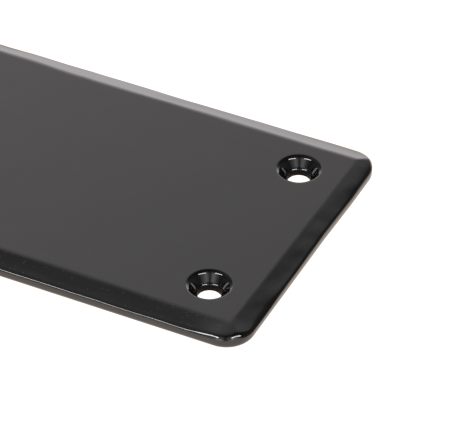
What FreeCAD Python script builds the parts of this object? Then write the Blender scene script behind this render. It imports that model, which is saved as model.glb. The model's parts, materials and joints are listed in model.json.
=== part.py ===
import FreeCAD, Part
import os

os.makedirs("parts", exist_ok=True)

# ---------------------------------------------------------------- driving dimensions (mm)

# Steel plate, back face on z = 0, front face up, length along x
plate_length = 300.0
plate_width = 65.0
plate_thickness = 3.7
corner_radius = 6.0

# Wide shallow bevel dressed round the front edge, leaving a square side wall under it
bevel_width = 3.7
bevel_drop = 1.15
bevel_blend_radius = 3.0
front_arris_radius = 0.5
back_arris_radius = 1.3

# Countersunk screw holes, one in each corner
hole_inset_end = 12.9
hole_spacing_across = 40.4
hole_row_shift = 0.4
hole_diameter = 4.8
countersink_diameter = 9.1
countersink_lip_radius = 0.3

# ---------------------------------------------------------------- derived sizes

half_length = plate_length / 2
half_width = plate_width / 2
side_height = plate_thickness - bevel_drop
hole_x = half_length - hole_inset_end
hole_y_left = hole_row_shift + hole_spacing_across / 2
hole_y_right = hole_row_shift - hole_spacing_across / 2
# A 90 degree countersink is as deep as the difference of its two radii
countersink_depth = (countersink_diameter - hole_diameter) / 2
countersink_floor = plate_thickness - countersink_depth

# ---------------------------------------------------------------- blank: sheared rectangle

blank = Part.makeBox(
    plate_length,
    plate_width,
    plate_thickness,
    FreeCAD.Vector(-half_length, -half_width, 0),
)
upright_edges = []
front_edges = []
for edge in blank.Edges:
    box = edge.BoundBox
    if box.ZLength > plate_thickness - 0.01:
        upright_edges.append(edge)
    if box.ZMin > plate_thickness - 0.01:
        front_edges.append(edge)

# ---------------------------------------------------------------- four flat bevels, mitred at the corners

# Each bevel is dressed straight along its own side, so two of them meet in a mitre line
# The chamfer takes its two distances from the side wall and the front face in turn
bevelled = blank.makeChamfer(bevel_drop, bevel_width, front_edges)

# ---------------------------------------------------------------- ridge where the bevels meet the face, softened

ridge_edges = []
for edge in bevelled.Edges:
    box = edge.BoundBox
    if box.ZMin > plate_thickness - 0.01:
        ridge_edges.append(edge)
bevelled = bevelled.makeFillet(bevel_blend_radius, ridge_edges)

# ---------------------------------------------------------------- rounded corners, cut through the bevels

rounded = blank.makeFillet(corner_radius, upright_edges)
plate = bevelled.common(rounded)

# ---------------------------------------------------------------- outer edges softened by dressing and coating

# The bevel meets the side wall lowest along the straights and climbs round each corner
arris_edges = []
for edge in plate.Edges:
    box = edge.BoundBox
    on_wall = box.ZMin > side_height - 0.01 and box.ZMax < plate_thickness - 0.01
    inner_x = max(abs(box.XMin), abs(box.XMax)) < half_length - bevel_width / 2
    inner_y = max(abs(box.YMin), abs(box.YMax)) < half_width - bevel_width / 2
    mitre_line = box.ZMax > side_height + 0.6
    if on_wall and not mitre_line and not (inner_x and inner_y):
        arris_edges.append(edge)
plate = plate.makeFillet(front_arris_radius, arris_edges)

back_edges = []
for edge in plate.Edges:
    box = edge.BoundBox
    if box.ZMax < 0.01:
        back_edges.append(edge)
plate = plate.makeFillet(back_arris_radius, back_edges)

# ---------------------------------------------------------------- countersunk screw holes

for x in (-hole_x, hole_x):
    for y in (hole_y_right, hole_y_left):
        shank = Part.makeCylinder(
            hole_diameter / 2,
            plate_thickness + 2,
            FreeCAD.Vector(x, y, -1),
        )
        sink = Part.makeCone(
            hole_diameter / 2,
            countersink_diameter / 2,
            countersink_depth,
            FreeCAD.Vector(x, y, countersink_floor),
        )
        plate = plate.cut(shank)
        plate = plate.cut(sink)

# Coating rounds the lip where each countersink meets the front face
lip_edges = []
for edge in plate.Edges:
    box = edge.BoundBox
    round_lip = abs(box.XLength - countersink_diameter) < 0.01
    if round_lip and box.ZMin > plate_thickness - 0.01:
        lip_edges.append(edge)
plate = plate.makeFillet(countersink_lip_radius, lip_edges)

plate.exportStep(os.path.join("parts", "plate.step"))
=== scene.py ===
import json
import math

import bmesh
import bpy
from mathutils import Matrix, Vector

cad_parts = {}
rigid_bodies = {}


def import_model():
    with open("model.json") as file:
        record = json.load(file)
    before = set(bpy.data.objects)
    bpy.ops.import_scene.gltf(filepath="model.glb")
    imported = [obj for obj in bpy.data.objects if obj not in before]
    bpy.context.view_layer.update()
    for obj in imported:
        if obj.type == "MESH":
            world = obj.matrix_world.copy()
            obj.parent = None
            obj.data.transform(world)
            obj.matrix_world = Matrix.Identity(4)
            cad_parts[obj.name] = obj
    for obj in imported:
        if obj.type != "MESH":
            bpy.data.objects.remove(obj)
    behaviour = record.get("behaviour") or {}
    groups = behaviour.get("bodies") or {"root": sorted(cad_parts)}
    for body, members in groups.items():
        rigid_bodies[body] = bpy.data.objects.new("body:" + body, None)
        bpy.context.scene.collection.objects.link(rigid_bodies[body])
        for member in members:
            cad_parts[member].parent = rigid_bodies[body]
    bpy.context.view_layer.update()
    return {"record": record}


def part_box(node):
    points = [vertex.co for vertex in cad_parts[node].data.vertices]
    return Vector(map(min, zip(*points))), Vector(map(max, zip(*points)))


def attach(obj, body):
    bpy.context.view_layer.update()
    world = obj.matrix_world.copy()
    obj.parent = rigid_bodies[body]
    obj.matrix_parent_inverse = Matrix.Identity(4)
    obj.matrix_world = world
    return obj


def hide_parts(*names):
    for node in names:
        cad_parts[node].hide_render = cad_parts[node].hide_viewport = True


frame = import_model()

# ------------------------------------------------------------------ Plate
# One strip of mild steel, sheared to length with its corners rounded off. All four edges are
# dressed by hand to a wide flat bevel, four screw holes are drilled and countersunk from the
# front, and the whole is finished in a thick gloss black coat.
plate_low, plate_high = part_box("plate")
plate_length = plate_high.x - plate_low.x
plate_width = plate_high.y - plate_low.y
plate_thickness = plate_high.z - plate_low.z
corner_radius = 0.006
bevel_width = 0.0037
bevel_drop = 0.00115
bevel_steps = 8
ridge_radius = 0.004
front_arris_radius = 0.0007
back_arris_radius = 0.0013
face_margin = 0.0004
hair = 1e-6

bpy.ops.object.select_all(action="DESELECT")
bpy.ops.mesh.primitive_plane_add(size=1, location=(0, 0, 0))
plate = bpy.context.object
plate.name = "plate_steel"
bpy.ops.transform.resize(value=(plate_length, plate_width, 1))
bpy.ops.transform.translate(value=(0, 0, plate_low.z + back_arris_radius))
bpy.ops.object.transform_apply(location=True, rotation=True, scale=True)


def pick_edges(test):
    """Selects the edges that pass a test of the edge and the places of its two ends."""
    mesh = bmesh.from_edit_mesh(plate.data)
    for part in list(mesh.verts) + list(mesh.edges) + list(mesh.faces):
        part.select = False
    for edge in mesh.edges:
        edge.select = test(edge, edge.verts[0].co, edge.verts[1].co)
    mesh.select_flush_mode()
    bmesh.update_edit_mesh(plate.data)


def pick_face(toward):
    """Selects the flat face that looks up (1) or down (-1)."""
    mesh = bmesh.from_edit_mesh(plate.data)
    mesh.normal_update()
    for part in list(mesh.verts) + list(mesh.edges) + list(mesh.faces):
        part.select = False
    for face in mesh.faces:
        face.select = face.normal.z * toward > 0.9
    mesh.select_flush_mode()
    bmesh.update_edit_mesh(plate.data)


# Outline: corners rounded, then the straight runs divided about every millimetre for the dressing
bpy.ops.object.mode_set(mode="EDIT")
bpy.ops.mesh.select_mode(type="EDGE")
bpy.ops.mesh.bevel(offset=corner_radius, segments=14, affect="VERTICES")
bpy.ops.mesh.delete(type="ONLY_FACE")
pick_edges(lambda edge, a, b: abs(a.x - b.x) > plate_length / 2)
bpy.ops.mesh.subdivide(number_cuts=299)
pick_edges(lambda edge, a, b: abs(a.y - b.y) > plate_width / 2)
bpy.ops.mesh.subdivide(number_cuts=53)
bpy.ops.mesh.select_all(action="SELECT")
bpy.ops.mesh.edge_face_add()

# Side wall
bevel_slope = math.degrees(math.atan2(bevel_drop, bevel_width))
arris_reach = front_arris_radius * math.tan(math.radians((90 - bevel_slope) / 2))
wall_height = plate_thickness - bevel_drop - back_arris_radius - arris_reach
bpy.ops.mesh.select_mode(type="FACE")
bpy.ops.mesh.extrude_region_move(TRANSFORM_OT_translate={"value": (0, 0, wall_height)})
bpy.ops.mesh.select_all(action="SELECT")
bpy.ops.mesh.normals_make_consistent(inside=False)


def arc_moves(radius, start, end, count):
    """Level and upright parts of the moves along an arc between two slopes, in degrees from level."""
    moves = []
    for i in range(count):
        a = math.radians(start + (end - start) * i / count)
        b = math.radians(start + (end - start) * (i + 1) / count)
        level = radius * abs(math.sin(b) - math.sin(a))
        upright = radius * abs(math.cos(b) - math.cos(a))
        moves.append((level, upright))
    return moves


# Front: arris, bevel and ridge, each a run of insets that climb. Back: the rounded under edge
arris_moves = arc_moves(front_arris_radius, 90, bevel_slope, count=7)
ridge_moves = arc_moves(ridge_radius, bevel_slope, 0, count=8)
climb = bevel_drop + arris_reach - sum(up for level, up in arris_moves + ridge_moves)
bevel_moves = [(climb / math.tan(math.radians(bevel_slope)) / bevel_steps, climb / bevel_steps)] * bevel_steps
pick_face(1)
for level, up in arris_moves + bevel_moves + ridge_moves + [(face_margin, 0)]:
    bpy.ops.mesh.inset(thickness=level, depth=up, use_even_offset=True)
bpy.ops.mesh.delete(type="ONLY_FACE")
pick_face(-1)
for level, up in arc_moves(back_arris_radius, 90, 0, count=8) + [(face_margin, 0)]:
    bpy.ops.mesh.inset(thickness=level, depth=up, use_even_offset=True)
bpy.ops.mesh.delete(type="ONLY_FACE")

# The two short ridges are filed crisper than the long ones
ridge_depth = sum(up for level, up in ridge_moves)
end_ridge_reach = 0.0055
end_ridge_share = 0.55


def on_end_ridge(place, end):
    """Tells whether a place is on the ridge of one short bevel, between the corners."""
    high_up = place.z > plate_high.z - ridge_depth - hair
    near_end = place.x * end > plate_length / 2 - end_ridge_reach
    between = abs(place.y) < plate_width / 2 - corner_radius
    return high_up and near_end and between


for end in (-1, 1):
    ridge_x = end * (plate_length / 2 - bevel_width)
    pick_edges(lambda edge, a, b: on_end_ridge(a, end) and on_end_ridge(b, end))
    bpy.ops.transform.resize(
        value=(end_ridge_share, 1, end_ridge_share),
        center_override=(ridge_x, 0, plate_high.z),
    )

# Dressing by hand. The file runs straight along each side, so the bevels meet in a mitre, and no
# two strokes are alike: bevels differ in width, ridges wander, and flats are slightly lumpy
bpy.ops.object.mode_set(mode="OBJECT")
arris_height = plate_high.z - bevel_drop


def rise(value, start, run):
    """Climbs from 0 at the start to 1 at the end of the run, and is level outside it."""
    return min(max((value - start) / run, 0), 1)


def file_edge(way, depth, reach, patch=0):
    """Moves the edge along one axis by a depth in metres, shared out by reach and broken up in patches."""
    strokes = plate.vertex_groups.new(name="strokes")
    for vertex in plate.data.vertices:
        climbed = rise(vertex.co.z, arris_height, bevel_drop)
        strokes.add([vertex.index], min(max(reach(vertex.co, climbed), 0), 1), "REPLACE")
    filing = plate.modifiers.new("filing", "DISPLACE")
    filing.vertex_group = "strokes"
    filing.direction = way
    filing.strength = depth
    filing.mid_level = 0
    if patch:
        filing.texture = bpy.data.textures.new("file_marks", "CLOUDS")
        filing.texture.noise_scale = patch
        filing.mid_level = 0.5
    bpy.ops.object.modifier_apply(modifier="filing")
    plate.vertex_groups.clear()


def up_the_side(place):
    """Share of the side wall's height."""
    return rise(place.z, back_arris_radius, arris_height - back_arris_radius)


def bevel_height(inward):
    """Height above the arris at a distance in from the side: up the bevel, then level past the ridge."""
    blend = ridge_radius * math.sin(math.radians(bevel_slope)) / 2
    on_ridge = max(blend - abs(inward - bevel_width), 0)
    unblended = bevel_drop * min(inward / bevel_width, 1)
    return unblended - bevel_drop / bevel_width * on_ridge ** 2 / (4 * blend)


def mitre(place, climbed):
    """Share of half a bevel's depth by which flat bevels meeting at a corner stand above rounded ones."""
    off_x = plate_length / 2 - abs(place.x)
    off_y = plate_width / 2 - abs(place.y)
    if off_x > corner_radius or off_y > corner_radius:
        return 0
    inward = corner_radius - math.hypot(corner_radius - off_x, corner_radius - off_y)
    raised = bevel_height(min(off_x, off_y)) - bevel_height(max(inward, 0))
    return up_the_side(place) * raised / (bevel_drop / 2)


def near_heel(place, climbed):
    """The near right corner, where the file was lifted and left the arris high."""
    heel_x = plate_high.x - 0.0045
    heel_y = plate_low.y + 0.0015
    heel_reach = 0.0095
    share = max(1 - math.hypot(place.x - heel_x, place.y - heel_y) / heel_reach, 0)
    return share * share * (3 - 2 * share) * up_the_side(place) * (1 - climbed)


def near_side(place):
    """The near half, fading out towards the middle of the plate."""
    return rise(-place.y, 0.010, 0.012)


def far_side(place):
    """The far half, fading out towards the middle of the plate."""
    return rise(place.y, 0.010, 0.012)


def far_corner(place):
    """The far half, taken a little nearer to the middle."""
    return rise(place.y, 0.006, 0.012)


def right_end(place):
    """The last 20 mm before the right end."""
    return rise(place.x, plate_high.x - 0.020, 0.012)


def near_corner(place):
    """The last 14 mm before the right end, rising quickly."""
    return rise(place.x, plate_high.x - 0.014, 0.006)


def corner_run(place):
    """The last 30 mm before the right end, rising slowly."""
    return rise(place.x, plate_high.x - 0.030, 0.015)


def end_taper(place):
    """Share of the end bevel's taper: none 20 mm past the middle, full 20 mm short of it and beyond."""
    return (0.020 - place.y) / 0.04


def past_step(place):
    """Grows from 0 where the far ridge steps in, 76 mm before the right end, to well past 1."""
    return (place.x - plate_high.x + 0.076) / 0.006


def arris_share(place, climbed):
    """Full on the arris, fading up the bevel and down the top of the side wall."""
    wall_fade = 0.0009
    return (1 - climbed) * (place.z - arris_height + wall_fade) / wall_fade


def arris_bulge(place):
    """A rounded band along the arris, full at its middle."""
    band_middle = arris_height - 0.00018
    band_half = 0.00033
    return 1 - ((place.z - band_middle) / band_half) ** 2


def far_corner_share(climbed):
    """The far right corner was left long, and less so at its ridge."""
    return 1 - 0.6 * climbed


def bevel_crown(climbed):
    """Full half-way up the bevel and nothing at its two edges."""
    return 4 * climbed * (1 - climbed)


# Mitred corners, the high near heel, and the widths of the near and end bevels
heel_height = 0.0006
near_widening = 0.0008
end_narrowing = 0.0002
end_widening = 0.00065
file_edge("Z", bevel_drop / 2, mitre)
file_edge("Z", heel_height, near_heel)
file_edge("Y", near_widening, lambda place, climbed: climbed * near_side(place))
file_edge("X", end_narrowing, lambda place, climbed: climbed * right_end(place))
file_edge("X", -end_widening, lambda place, climbed: climbed * right_end(place) * end_taper(place))

# Arris lowered on the near side and the end, and the far right corner left long
near_lowering = 0.00008
end_lowering = 0.00007
far_corner_length = 0.00025
far_corner_width = 0.0002
file_edge("Z", -near_lowering, lambda place, climbed: arris_share(place, climbed) * near_side(place))
file_edge("Z", -end_lowering, lambda place, climbed: (
    arris_share(place, climbed) * right_end(place) * (1 - far_corner(place))))
file_edge("X", far_corner_length, lambda place, climbed: (
    far_corner_share(climbed) * right_end(place) * far_corner(place)))
file_edge("Y", far_corner_width, lambda place, climbed: (
    far_corner_share(climbed) * far_side(place) * corner_run(place)))

# Step in the far ridge, a crowned far bevel, and a flatter arris up to the near corner
far_step = 0.0003
far_crown = 0.00008
near_flattening = 0.0001
file_edge("Y", -far_step, lambda place, climbed: climbed * far_side(place) * past_step(place))
file_edge("Z", far_crown, lambda place, climbed: bevel_crown(climbed) * far_side(place))
file_edge("Z", -near_flattening, lambda place, climbed: (
    arris_bulge(place) * near_side(place) * near_corner(place)))

# Uneven strokes all round, each in patches of its own size
near_arris_waver = 0.00014
ridge_wander = 0.0005
arris_wander = 0.0003
bevel_lumps = 0.0001
file_edge("Z", near_arris_waver, lambda place, climbed: arris_bulge(place) * near_side(place), patch=0.010)
file_edge("X", ridge_wander, lambda place, climbed: climbed, patch=0.011)
file_edge("Y", ridge_wander, lambda place, climbed: climbed, patch=0.013)
file_edge("Z", arris_wander, arris_share, patch=0.009)
file_edge("Z", bevel_lumps, lambda place, climbed: bevel_crown(climbed), patch=0.005)

# Screw holes: a ring at the face is drawn in over the dished sink and down to the back
screw_holes = frame["record"]["mounts"][0]
hole_radius = screw_holes["dims"]["hole_r_mm"] / 1000
hole_pitch_x = screw_holes["dims"]["spacing_x_mm"] / 1000
hole_pitch_y = screw_holes["dims"]["spacing_y_mm"] / 1000
hole_middle = Vector(screw_holes["pos_m"])
rim_radius = 0.00466
rim_margin = 0.0005
bore_radius = hole_radius + 0.00002
lip_radius = 0.0003
dish_width = 0.00034
dish_slope = 34
bend_radius = 0.0012
wall_slope = 54
hollow_radius = 0.00006
ledge_width = 0.00005
ledge_slope = 30
bead_radius = 0.0009
bead_slope = 62
shank_foot = 0.0001
back_margin = 0.0006


def straight_moves(width, slope, count):
    """Level and upright parts of the moves down a straight slope, in degrees from level."""
    return [(width / count, width / count * math.tan(math.radians(slope)))] * count


lip = arc_moves(lip_radius, 0, dish_slope, count=5)
dish = straight_moves(dish_width, dish_slope, count=4)
bend = arc_moves(bend_radius, dish_slope, wall_slope, count=8)
hollow = arc_moves(hollow_radius, wall_slope, ledge_slope, count=6)
ledge = straight_moves(ledge_width, ledge_slope, count=1)
bead = arc_moves(bead_radius, ledge_slope, bead_slope, count=8)
taken_up = sum(level for level, down in lip + dish + bend + hollow + ledge + bead)
wall = straight_moves(rim_radius - bore_radius - taken_up, wall_slope, count=4)
sink_moves = [(rim_margin, 0)] + lip + dish + bend + wall + hollow + ledge + bead
shank_length = plate_thickness - sum(down for level, down in sink_moves)
shank_moves = [(0, shank_length - shank_foot), (0, shank_foot), (-back_margin, 0)]

first_hole_stray = 0.0001
hole_x = hole_middle.x + hole_pitch_x / 2 + first_hole_stray
hole_y = hole_middle.y + hole_pitch_y / 2 + first_hole_stray
bpy.ops.object.mode_set(mode="EDIT")
bpy.ops.mesh.select_mode(type="EDGE")
bpy.ops.mesh.select_all(action="DESELECT")
ring = rim_radius + rim_margin
bpy.ops.mesh.primitive_circle_add(vertices=96, radius=ring, location=(hole_x, hole_y, plate_high.z))
for level, down in sink_moves + shank_moves:
    bpy.ops.mesh.extrude_edges_move(TRANSFORM_OT_translate={"value": (0, 0, -down)})
    size = (ring - level) / ring
    bpy.ops.transform.resize(value=(size, size, 1), center_override=(hole_x, hole_y, 0))
    ring = ring - level

# Moves from each hole to the next, a little off the true pitch, as holes marked out by hand are
hole_steps = (
    (-0.0003, 0.0001 - hole_pitch_y, 0),
    (-hole_pitch_x + 0.0003, 0.0001, 0),
    (-0.0002, hole_pitch_y - 0.0001, 0),
)
bpy.ops.mesh.select_linked()
for step in hole_steps:
    bpy.ops.mesh.duplicate_move(TRANSFORM_OT_translate={"value": step})

# Front and back faces, filled between the edge of the plate and the holes
for level in (plate_low.z, plate_high.z):
    pick_edges(lambda edge, a, b: edge.is_boundary and abs(a.z - level) < hair and abs(b.z - level) < hair)
    bpy.ops.mesh.fill(use_beauty=False)
bpy.ops.mesh.select_all(action="SELECT")
bpy.ops.mesh.normals_make_consistent(inside=False)
bpy.ops.object.mode_set(mode="OBJECT")
bpy.ops.object.shade_smooth_by_angle(angle=math.radians(30))

# Where the lower wall of each hole is darkened as painted shade, and where dust lies: most of it on the near
# bevel
bore_shade = plate.data.attributes.new("bore_shade", "FLOAT", "POINT")
dusty = plate.data.attributes.new("dusty", "FLOAT", "POINT")
near_bevel_reach = 0.0045
face_dust = 0.12
for vertex in plate.data.vertices:
    off_x = abs(abs(vertex.co.x - hole_middle.x) - hole_pitch_x / 2)
    off_y = abs(abs(vertex.co.y - hole_middle.y) - hole_pitch_y / 2)
    in_hole = math.hypot(off_x, off_y) < hole_radius + back_margin
    in_shank = vertex.co.z < plate_low.z + shank_length + hair
    on_near_bevel = vertex.co.y < plate_low.y + near_bevel_reach and vertex.co.z > arris_height
    dusty.data[vertex.index].value = 1 if on_near_bevel else face_dust
    # The lower wall inside each hole is marked for painted shade
    bore_shade.data[vertex.index].value = 1 if in_hole and in_shank else 0

# Coat: black, with a gloss that varies a little over the plate and dust settled here and there; low in each
# hole it turns dark brown, metallic and dull, as painted shade
coat_black = (0.004, 0.004, 0.004, 1)
dust_grey = (0.10, 0.095, 0.09, 1)
bore_shade_brown = (0.014, 0.011, 0.009, 1)
bore_shade_roughness = 0.6
dust_density = 1100
coat = bpy.data.materials.new("black_gloss_coat")
coat.use_nodes = True
nodes = coat.node_tree.nodes
links = coat.node_tree.links
shader = nodes["Principled BSDF"]
shader.inputs["IOR"].default_value = 1.6
grain = nodes.new("ShaderNodeTexCoord")


def noise(scale, detail):
    """A noise texture in the plate's own coordinates."""
    node = nodes.new("ShaderNodeTexNoise")
    node.inputs["Scale"].default_value = scale
    node.inputs["Detail"].default_value = detail
    links.new(grain.outputs["Object"], node.inputs["Vector"])
    return node.outputs["Fac"]


def scaled(source, lowest, highest, out_low, out_high):
    """Maps one range of values onto another, held at both ends."""
    node = nodes.new("ShaderNodeMapRange")
    node.inputs["From Min"].default_value = lowest
    node.inputs["From Max"].default_value = highest
    node.inputs["To Min"].default_value = out_low
    node.inputs["To Max"].default_value = out_high
    links.new(source, node.inputs["Value"])
    return node.outputs["Result"]


def turning(share, colour):
    """Turns whatever colour enters at A into another one, by a share."""
    node = nodes.new("ShaderNodeMix")
    node.data_type = "RGBA"
    node.inputs["B"].default_value = colour
    links.new(share, node.inputs["Factor"])
    return node


def painted(name):
    """Reads one of the plate's own attributes."""
    node = nodes.new("ShaderNodeAttribute")
    node.attribute_name = name
    return node.outputs["Fac"]


dust = nodes.new("ShaderNodeTexVoronoi")
dust.inputs["Scale"].default_value = dust_density
links.new(grain.outputs["Object"], dust.inputs["Vector"])
settled = nodes.new("ShaderNodeMath")
settled.operation = "MULTIPLY"
speck = scaled(dust.outputs["Distance"], lowest=0.0, highest=0.13, out_low=1.0, out_high=0.0)
links.new(speck, settled.inputs[0])
links.new(painted("dusty"), settled.inputs[1])
coat_tone = turning(settled.outputs["Value"], dust_grey)
coat_tone.inputs["A"].default_value = coat_black
bore_shade_mask = painted("bore_shade")
# Painted shade: the lower wall of each hole turns dark brown, metallic and dull, so that it reflects little
tone = turning(bore_shade_mask, bore_shade_brown)
links.new(coat_tone.outputs["Result"], tone.inputs["A"])
links.new(tone.outputs["Result"], shader.inputs["Base Color"])
gloss = nodes.new("ShaderNodeMapRange")
gloss.inputs["To Max"].default_value = bore_shade_roughness
coat_roughness = scaled(noise(scale=90, detail=3), lowest=0.3, highest=0.7, out_low=0.045, out_high=0.085)
links.new(coat_roughness, gloss.inputs["To Min"])
links.new(bore_shade_mask, gloss.inputs["Value"])
links.new(gloss.outputs["Result"], shader.inputs["Roughness"])
links.new(bore_shade_mask, shader.inputs["Metallic"])

# Relief: long waves from the hand dressing under a fine orange peel
wave_height = 0.00002
peel_height = 0.000004
waves = nodes.new("ShaderNodeBump")
waves.inputs["Distance"].default_value = wave_height
waves.inputs["Strength"].default_value = 1.0
links.new(noise(scale=130, detail=2), waves.inputs["Height"])
peel = nodes.new("ShaderNodeBump")
peel.inputs["Distance"].default_value = peel_height
peel.inputs["Strength"].default_value = 1.0
links.new(noise(scale=900, detail=2), peel.inputs["Height"])
links.new(waves.outputs["Normal"], peel.inputs["Normal"])
links.new(peel.outputs["Normal"], shader.inputs["Normal"])
plate.data.materials.append(coat)
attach(plate, "root")
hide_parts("plate")

# ------------------------------------------------------------------ Floor
# A sheet of white paper under the plate. It glows softly, and so stays white and even whatever
# the lights do, and shows no grain of its own.
paper_grey = (0.10, 0.10, 0.10, 1)
paper_glow = (1.0, 0.88, 0.80, 1)
paper_glow_strength = 1.3
bpy.ops.object.select_all(action="DESELECT")
bpy.ops.mesh.primitive_plane_add(size=8, location=(0, 0, plate_low.z))
floor = bpy.context.object
floor.name = "floor"
paper = bpy.data.materials.new("white_paper")
paper.use_nodes = True
paper_shader = paper.node_tree.nodes["Principled BSDF"]
paper_shader.inputs["Base Color"].default_value = paper_grey
paper_shader.inputs["Specular IOR Level"].default_value = 0.0
paper_shader.inputs["Roughness"].default_value = 1.0
paper_shader.inputs["Emission Color"].default_value = paper_glow
paper_shader.inputs["Emission Strength"].default_value = paper_glow_strength
floor.data.materials.append(paper)

# ------------------------------------------------------------------ Lights
# Two wide, low softboxes, one on each side of the camera, in a room that is dark but for a pale
# wall behind the plate and a pale stretch on each side of the camera, all fading towards the ceiling.
view_azimuth = 26.12
view_elevation = 39.31
target_from_end = 0.02209
target_past_middle = 0.00568
target_y = plate_low.y + plate_width / 2 + target_past_middle
target = Vector((plate_high.x - target_from_end, target_y, plate_low.z))
softbox_distance = 2.0
softbox_elevation = 43.5
softbox_width = 1.2
softbox_height = 0.35
softbox_energy = 21
softbox_azimuths = (
    ("softbox_right", view_azimuth + 42),
    ("softbox_left", view_azimuth - 54),
)


def toward(azimuth, elevation):
    """Unit vector away from the target, its azimuth in degrees turned from -Y towards +X."""
    a = math.radians(azimuth)
    e = math.radians(elevation)
    return Vector((math.sin(a) * math.cos(e), -math.cos(a) * math.cos(e), math.sin(e)))


for name, azimuth in softbox_azimuths:
    place = target + toward(azimuth, softbox_elevation) * softbox_distance
    bpy.ops.object.light_add(type="AREA", location=place)
    softbox = bpy.context.object
    softbox.name = name
    softbox.rotation_euler = (place - target).to_track_quat("Z", "Y").to_euler()
    softbox.data.shape = "RECTANGLE"
    softbox.data.size = softbox_width
    softbox.data.size_y = softbox_height
    softbox.data.energy = softbox_energy

room_strength = 3.4
room_green = 0.978
room_blue = 0.99
room = bpy.data.worlds.new("studio_room")
room.use_nodes = True
bpy.context.scene.world = room
tree = room.node_tree
way = tree.nodes.new("ShaderNodeTexCoord")


def fade(stops, source):
    """A ramp of faintly rosy greys through the given stops, read from one output."""
    ramp = tree.nodes.new("ShaderNodeValToRGB")
    while len(ramp.color_ramp.elements) < len(stops):
        ramp.color_ramp.elements.new(0.5)
    for element, (position, grey) in zip(ramp.color_ramp.elements, stops):
        element.position = position
        element.color = (grey, grey * room_green, grey * room_blue, 1)
    tree.links.new(source, ramp.inputs["Fac"])
    return ramp.outputs["Color"]


def blended(first, second, blend_type):
    """Multiplies or adds two colours."""
    node = tree.nodes.new("ShaderNodeMix")
    node.data_type = "RGBA"
    node.blend_type = blend_type
    node.inputs["Factor"].default_value = 1
    tree.links.new(first, node.inputs["A"])
    tree.links.new(second, node.inputs["B"])
    return node.outputs["Result"]


# Brightness from the horizon (0) to straight overhead (1), by the sine of the angle
split = tree.nodes.new("ShaderNodeSeparateXYZ")
tree.links.new(way.outputs["Generated"], split.inputs[0])
up_the_wall = fade(
    ((0.0, 0.60), (0.10, 0.82), (0.19, 1.0), (0.26, 1.05), (0.33, 0.84), (0.602, 0.345), (0.643, 0.286),
     (0.707, 0.25), (0.82, 0.13), (0.883, 0.055), (0.92, 0.03), (0.975, 0.012), (1.0, 0.01)),
    split.outputs["Z"],
)

# Brightness once round the room: the wall behind the plate is at 0.4, the camera at 0.9
turned = tree.nodes.new("ShaderNodeMapping")
turned.inputs["Rotation"].default_value = (0, 0, math.radians(-150))
tree.links.new(way.outputs["Generated"], turned.inputs["Vector"])
compass = tree.nodes.new("ShaderNodeTexGradient")
compass.gradient_type = "RADIAL"
tree.links.new(turned.outputs["Vector"], compass.inputs["Vector"])
round_the_room = fade(
    ((0.0, 0.45), (0.04, 0.20), (0.07, 0.05), (0.10, 0.03), (0.25, 0.05), (0.285, 0.14), (0.30, 0.37),
     (0.322, 0.64), (0.36, 0.70), (0.3944, 0.80), (0.4167, 0.89), (0.44, 0.95), (0.465, 0.9), (0.49, 0.2),
     (0.51, 0.07), (0.61, 0.04), (0.72, 0.03), (0.77, 0.22), (0.80, 0.55), (0.83, 0.90), (0.86, 0.75),
     (0.88, 0.30), (0.893, 0.12), (0.906, 0.22), (0.935, 0.70), (0.964, 0.90), (1.0, 0.45)),
    compass.outputs["Fac"],
)

# A weak glow high on the left, where the backdrop curls over the table
curl = tree.nodes.new("ShaderNodeVectorMath")
curl.operation = "DOT_PRODUCT"
curl.inputs[1].default_value = toward(azimuth=-115, elevation=63)
tree.links.new(way.outputs["Generated"], curl.inputs[0])
glow = fade(((0.0, 0.0), (0.80, 0.0), (0.90, 0.055), (0.95, 0.08), (1.0, 0.085)), curl.outputs["Value"])
whole = blended(blended(up_the_wall, round_the_room, "MULTIPLY"), glow, "ADD")
background = tree.nodes["Background"]
background.inputs["Strength"].default_value = room_strength
tree.links.new(whole, background.inputs["Color"])

# ------------------------------------------------------------------ Camera
# A long lens from the near right-hand side, looking down on one end of the plate from close
# enough for its long sides to draw together a little.
camera_distance = 0.74824
lens_length = 298.02
sensor_width = 36
bpy.ops.object.camera_add(location=target + toward(view_azimuth, view_elevation) * camera_distance)
camera = bpy.context.object
camera.name = "camera"
camera.rotation_euler = toward(view_azimuth, view_elevation).to_track_quat("Z", "Y").to_euler()
camera.data.lens = lens_length
camera.data.sensor_width = sensor_width
camera.data.clip_start = 0.01
bpy.context.scene.camera = camera
bpy.context.scene.view_settings.view_transform = "Standard"
